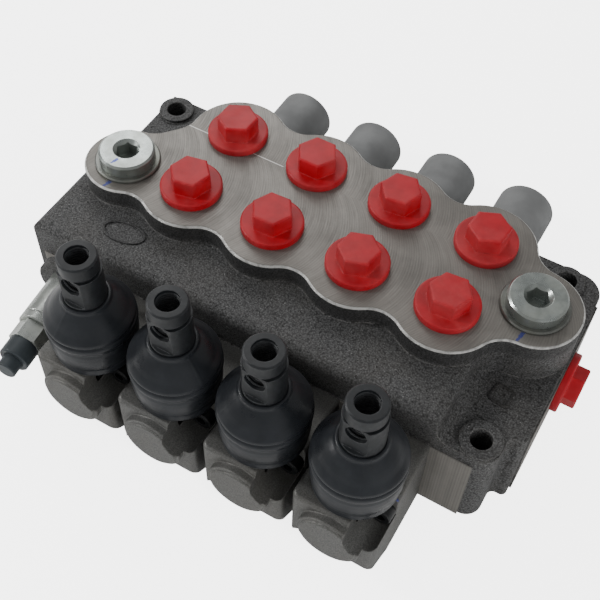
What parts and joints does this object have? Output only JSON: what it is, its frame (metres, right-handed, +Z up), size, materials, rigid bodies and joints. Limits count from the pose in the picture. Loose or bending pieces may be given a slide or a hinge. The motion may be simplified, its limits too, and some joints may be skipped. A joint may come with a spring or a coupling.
{
  "type": "monoblock directional control valve",
  "caption": "Lever-operated hydraulic directional valve in a cast-iron monoblock, with plugged ports, rubber-booted lever stubs, spool end caps and a relief valve.",
  "frame": {"origin": "on the mounting face, under the middle of the four sections, midway between the two rows of work ports", "axes": "+Z up from the mounting face to the port plate, +X along the row of sections, -Y towards the levers"},
  "size_m": [0.2289, 0.1901, 0.0936],
  "materials": {
    "cast_iron": "rough dark cast skin, machined faces bare",
    "red_plastic": "satin moulded",
    "plated_steel": "zinc plated, turned",
    "cast_aluminium": "die cast, bead blasted",
    "rubber": "semi gloss",
    "black_steel": "black oxide",
    "spool_steel": "ground and plated",
    "cap_steel": "phosphated, smooth",
    "spring_steel": "bare",
    "seal_rubber": "matt",
    "black_plastic": "matt"
  },
  "bodies": {
    "valve": {"valve_body": "cast_iron", "port_plug_a_1": "red_plastic", "port_plug_b_1": "red_plastic", "lever_box_1": "cast_aluminium", "boot_1": "rubber", "lever_pin_1": "spool_steel", "spool_cap_1": "cap_steel", "centring_spring_pack_1": "spring_steel", "port_plug_a_2": "red_plastic", "port_plug_b_2": "red_plastic", "lever_box_2": "cast_aluminium", "boot_2": "rubber", "lever_pin_2": "spool_steel", "spool_cap_2": "cap_steel", "centring_spring_pack_2": "spring_steel", "port_plug_a_3": "red_plastic", "port_plug_b_3": "red_plastic", "lever_box_3": "cast_aluminium", "boot_3": "rubber", "lever_pin_3": "spool_steel", "spool_cap_3": "cap_steel", "centring_spring_pack_3": "spring_steel", "port_plug_a_4": "red_plastic", "port_plug_b_4": "red_plastic", "lever_box_4": "cast_aluminium", "boot_4": "rubber", "lever_pin_4": "spool_steel", "spool_cap_4": "cap_steel", "centring_spring_pack_4": "spring_steel", "inlet_port_plug": "red_plastic", "tank_port_plug": "red_plastic", "top_plug_left": "plated_steel", "top_plug_right": "plated_steel", "top_plug_left_washer": "plated_steel", "top_plug_right_washer": "plated_steel", "box_screws": "black_steel", "flange_screws": "black_steel", "spool_seals": "seal_rubber", "relief_sleeve": "plated_steel", "relief_spring": "spring_steel", "relief_lock_nut": "plated_steel", "relief_cap": "black_plastic", "check_spring": "spring_steel"},
    "spool_assembly_1": {"spool_1": "spool_steel", "tail_screw_1": "black_steel"},
    "lever_assembly_1": {"lever_1": "black_steel"},
    "spool_assembly_2": {"spool_2": "spool_steel", "tail_screw_2": "black_steel"},
    "lever_assembly_2": {"lever_2": "black_steel"},
    "spool_assembly_3": {"spool_3": "spool_steel", "tail_screw_3": "black_steel"},
    "lever_assembly_3": {"lever_3": "black_steel"},
    "spool_assembly_4": {"spool_4": "spool_steel", "tail_screw_4": "black_steel"},
    "lever_assembly_4": {"lever_4": "black_steel"},
    "relief_poppet_assembly": {"relief_poppet": "spring_steel"},
    "relief_adjuster_assembly": {"relief_adjuster": "black_steel"},
    "check_poppet_assembly": {"check_poppet": "spring_steel"}
  },
  "joints": [
    {"name": "spool_slide_1", "type": "slide", "parent": "valve", "child": "spool_assembly_1", "axis": [0, 1, 0], "range_m": [-0.0065, 0.0065], "stiffness_N_per_m": 4000, "deforming": ["centring_spring_pack_1"]},
    {"name": "lever_hinge_1", "type": "hinge", "parent": "valve", "child": "lever_assembly_1", "pos_m": [-0.057, -0.086, 0.0485], "axis": [1, 0, 0], "range_deg": [-17.2, 17.2], "deforming": ["boot_1"]},
    {"name": "spool_slide_2", "type": "slide", "parent": "valve", "child": "spool_assembly_2", "axis": [0, 1, 0], "range_m": [-0.0065, 0.0065], "stiffness_N_per_m": 4000, "deforming": ["centring_spring_pack_2"]},
    {"name": "lever_hinge_2", "type": "hinge", "parent": "valve", "child": "lever_assembly_2", "pos_m": [-0.019, -0.086, 0.0485], "axis": [1, 0, 0], "range_deg": [-17.2, 17.2], "deforming": ["boot_2"]},
    {"name": "spool_slide_3", "type": "slide", "parent": "valve", "child": "spool_assembly_3", "axis": [0, 1, 0], "range_m": [-0.0065, 0.0065], "stiffness_N_per_m": 4000, "deforming": ["centring_spring_pack_3"]},
    {"name": "lever_hinge_3", "type": "hinge", "parent": "valve", "child": "lever_assembly_3", "pos_m": [0.019, -0.086, 0.0485], "axis": [1, 0, 0], "range_deg": [-17.2, 17.2], "deforming": ["boot_3"]},
    {"name": "spool_slide_4", "type": "slide", "parent": "valve", "child": "spool_assembly_4", "axis": [0, 1, 0], "range_m": [-0.0065, 0.0065], "stiffness_N_per_m": 4000, "deforming": ["centring_spring_pack_4"]},
    {"name": "lever_hinge_4", "type": "hinge", "parent": "valve", "child": "lever_assembly_4", "pos_m": [0.057, -0.086, 0.0485], "axis": [1, 0, 0], "range_deg": [-17.2, 17.2], "deforming": ["boot_4"]},
    {"name": "relief_poppet_slide", "type": "slide", "parent": "valve", "child": "relief_poppet_assembly", "axis": [0.0958, -0.9954, 0], "range_m": [0, 0.0015], "stiffness_N_per_m": 30000, "springref_m": -0.002, "deforming": ["relief_spring"]},
    {"name": "relief_adjuster_turn", "type": "hinge", "parent": "valve", "child": "relief_adjuster_assembly", "pos_m": [-0.08836, -0.08787, 0.027], "axis": [0.0958, -0.9954, 0], "range_deg": [-180, 180]},
    {"name": "check_poppet_slide", "type": "slide", "parent": "valve", "child": "check_poppet_assembly", "axis": [0, 0, 1], "range_m": [0, 0.004], "stiffness_N_per_m": 300, "springref_m": -0.004, "deforming": ["check_spring"]}
  ],
  "couplings": [
    {"joint": "lever_hinge_1", "follows": "spool_slide_1", "rad_per_m": 45.455},
    {"joint": "lever_hinge_2", "follows": "spool_slide_2", "rad_per_m": 45.455},
    {"joint": "lever_hinge_3", "follows": "spool_slide_3", "rad_per_m": 45.455},
    {"joint": "lever_hinge_4", "follows": "spool_slide_4", "rad_per_m": 45.455}
  ]
}
